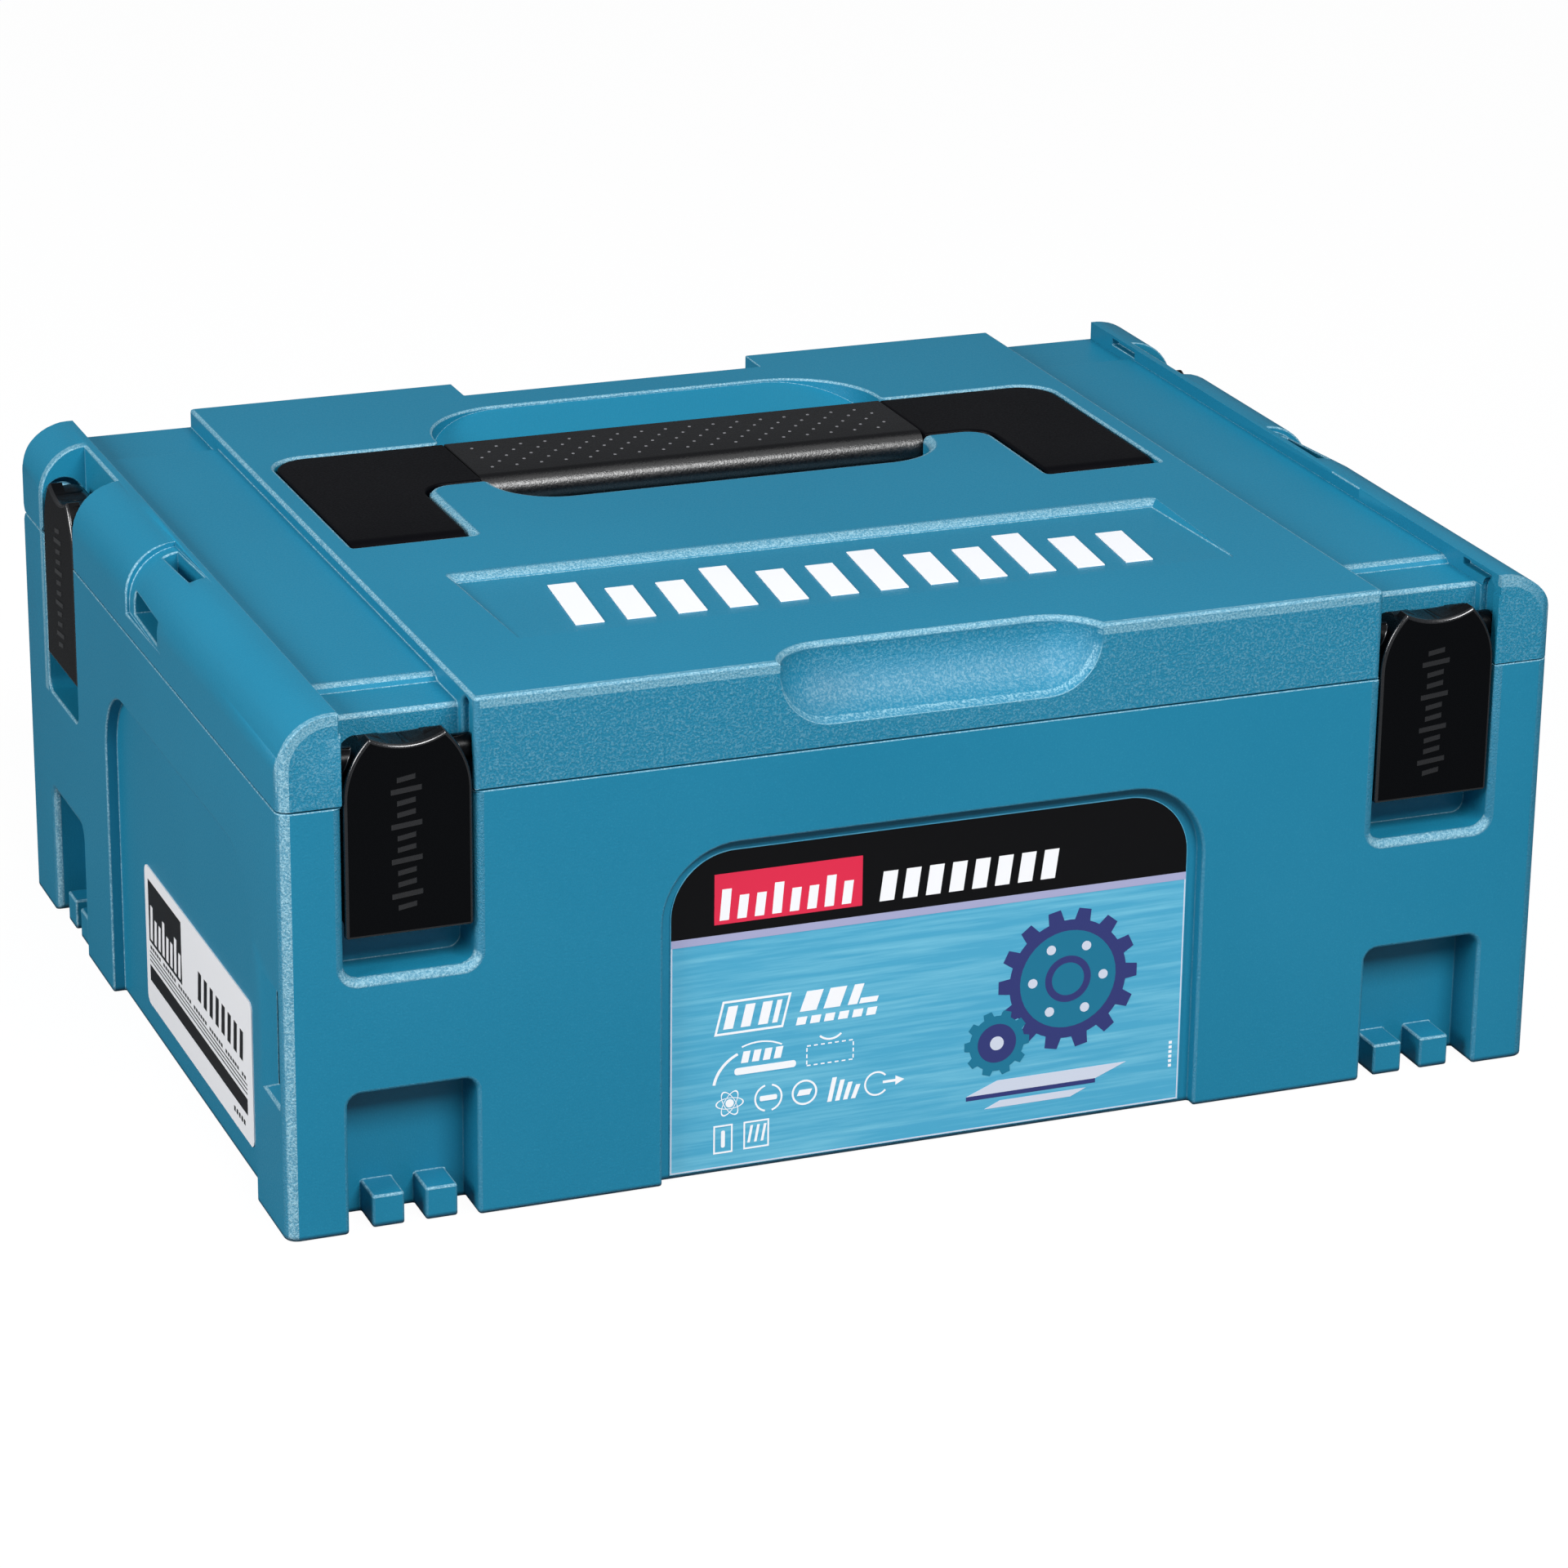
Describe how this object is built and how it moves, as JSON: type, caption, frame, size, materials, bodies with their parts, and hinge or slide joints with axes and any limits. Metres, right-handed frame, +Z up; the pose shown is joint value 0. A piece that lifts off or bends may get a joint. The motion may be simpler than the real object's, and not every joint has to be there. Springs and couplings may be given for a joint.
{
  "type": "jigsaw in a stackable tool case",
  "caption": "Stackable plastic tool case with latches, hinged lid, folding handle and insert tray, holding a cordless jigsaw.",
  "frame": {"origin": "middle of the closed case's footprint, on the ground", "axes": "X is the case's width, the front with the printed label faces -Y, Z is up"},
  "size_m": [0.396, 0.296, 0.1575],
  "materials": {
    "case_teal": "fine grained",
    "case_black": "satin",
    "grip_black": "soft, finely grained",
    "pin_steel": "bright",
    "print_blue": "printed film",
    "print_white": "printed film",
    "badge_white": "smooth",
    "tray_grey": "formed sheet",
    "tool_teal": "fine grained",
    "tool_navy": "soft overmould",
    "tool_black": "satin",
    "tool_alloy": "die cast",
    "tool_steel": "machined",
    "bush_bronze": "sintered",
    "winding_copper": "varnished winding"
  },
  "bodies": {
    "base": {"base_shell": "case_teal", "hinge_pins": "pin_steel", "front_label": "print_blue", "side_label": "print_white", "insert_tray": "tray_grey", "jig_housing_left": "tool_teal", "jig_housing_right": "tool_teal", "jig_soft_cover": "tool_navy", "jig_gear_frame": "tool_alloy", "jig_bushes": "bush_bronze", "jig_roller_bracket": "tool_alloy", "jig_bevel_mount": "tool_navy", "jig_stator": "winding_copper", "jig_bearings": "tool_steel", "jig_battery_terminal": "tool_black", "jig_screws": "tool_steel", "jig_blade_guard": "tool_steel"},
    "lid": {"lid_shell": "case_teal", "handle_pins": "pin_steel", "lid_badge": "badge_white"},
    "handle": {"handle_frame": "case_black", "handle_grip": "grip_black"},
    "latch_front_left": {"latch_front_left": "case_black"},
    "latch_front_right": {"latch_front_right": "case_black"},
    "latch_side_left": {"latch_side_left": "case_black"},
    "latch_side_right": {"latch_side_right": "case_black"},
    "jigsaw_trigger": {"jig_trigger": "tool_black"},
    "jigsaw_lock_button": {"jig_lock_button": "tool_black"},
    "jigsaw_speed_dial": {"jig_speed_dial": "tool_black"},
    "jigsaw_orbital_lever": {"jig_orbital_lever": "tool_black"},
    "jigsaw_reciprocator": {"jig_plunger": "tool_steel", "jig_blade_clamp": "tool_black", "jig_blade": "tool_steel"},
    "jigsaw_crank": {"jig_crank_gear": "tool_steel"},
    "jigsaw_rotor": {"jig_rotor": "tool_steel", "jig_fan": "tool_black"},
    "jigsaw_sole": {"jig_sole_plate": "tool_alloy", "jig_sole_cradle": "tool_alloy"},
    "jigsaw_guide_roller": {"jig_guide_roller": "tool_steel"}
  },
  "joints": [
    {"name": "lid_hinge", "type": "hinge", "parent": "base", "child": "lid", "pos_m": [0, 0.1428, 0.13], "axis": [-1, 0, 0], "range_deg": [0, 95]},
    {"name": "handle_pivot", "type": "hinge", "parent": "lid", "child": "handle", "pos_m": [0, 0, 0.1509], "axis": [1, 0, 0], "range_deg": [0, 90]},
    {"name": "front_left_latch_pivot", "type": "hinge", "parent": "lid", "child": "latch_front_left", "pos_m": [-0.16025, -0.1405, 0.141], "axis": [-1, 0, 0], "range_deg": [0, 75]},
    {"name": "front_right_latch_pivot", "type": "hinge", "parent": "lid", "child": "latch_front_right", "pos_m": [0.16025, -0.1405, 0.141], "axis": [-1, 0, 0], "range_deg": [0, 75]},
    {"name": "left_side_latch_pivot", "type": "hinge", "parent": "base", "child": "latch_side_left", "pos_m": [-0.1905, 0.1, 0.141], "axis": [0, 1, 0], "range_deg": [0, 75]},
    {"name": "right_side_latch_pivot", "type": "hinge", "parent": "base", "child": "latch_side_right", "pos_m": [0.1905, 0.1, 0.141], "axis": [0, -1, 0], "range_deg": [0, 75]},
    {"name": "jigsaw_trigger_pivot", "type": "hinge", "parent": "base", "child": "jigsaw_trigger", "pos_m": [0.014, -0.0916, 0.05], "axis": [0, 0, 1], "range_deg": [0, 8], "stiffness_Nm_per_rad": 0.6},
    {"name": "jigsaw_lock_button_slide", "type": "slide", "parent": "base", "child": "jigsaw_lock_button", "axis": [0, 0, 1], "range_m": [0, 0.0025], "stiffness_N_per_m": 400},
    {"name": "jigsaw_speed_dial_turn", "type": "hinge", "parent": "base", "child": "jigsaw_speed_dial", "pos_m": [-0.105, -0.0036, 0.0275], "axis": [1, 0, 0], "range_deg": [0, 270]},
    {"name": "jigsaw_orbital_lever_turn", "type": "hinge", "parent": "base", "child": "jigsaw_orbital_lever", "pos_m": [0.036, 0.0364, 0.0187], "axis": [0, 0, 1], "range_deg": [0, 90]},
    {"name": "jigsaw_plunger_stroke", "type": "slide", "parent": "base", "child": "jigsaw_reciprocator", "axis": [0, -1, 0], "range_m": [-0.01, 0.01]},
    {"name": "jigsaw_crank_turn", "type": "hinge", "parent": "base", "child": "jigsaw_crank", "pos_m": [0.034, -0.0282, 0.05], "axis": [1, 0, 0], "continuous": true},
    {"name": "jigsaw_motor_turn", "type": "hinge", "parent": "base", "child": "jigsaw_rotor", "pos_m": [-0.02, 0.0034, 0.05], "axis": [1, 0, 0], "continuous": true},
    {"name": "jigsaw_sole_bevel", "type": "hinge", "parent": "base", "child": "jigsaw_sole", "pos_m": [-0.009, 0.0844, 0.05], "axis": [1, 0, 0], "range_deg": [-45, 45]},
    {"name": "jigsaw_guide_roller_turn", "type": "hinge", "parent": "base", "child": "jigsaw_guide_roller", "pos_m": [0.0517, 0.0704, 0.05], "axis": [0, 0, 1], "continuous": true}
  ],
  "couplings": [
    {"joint": "jigsaw_motor_turn", "follows": "jigsaw_crank_turn", "ratio": -4.7273}
  ]
}
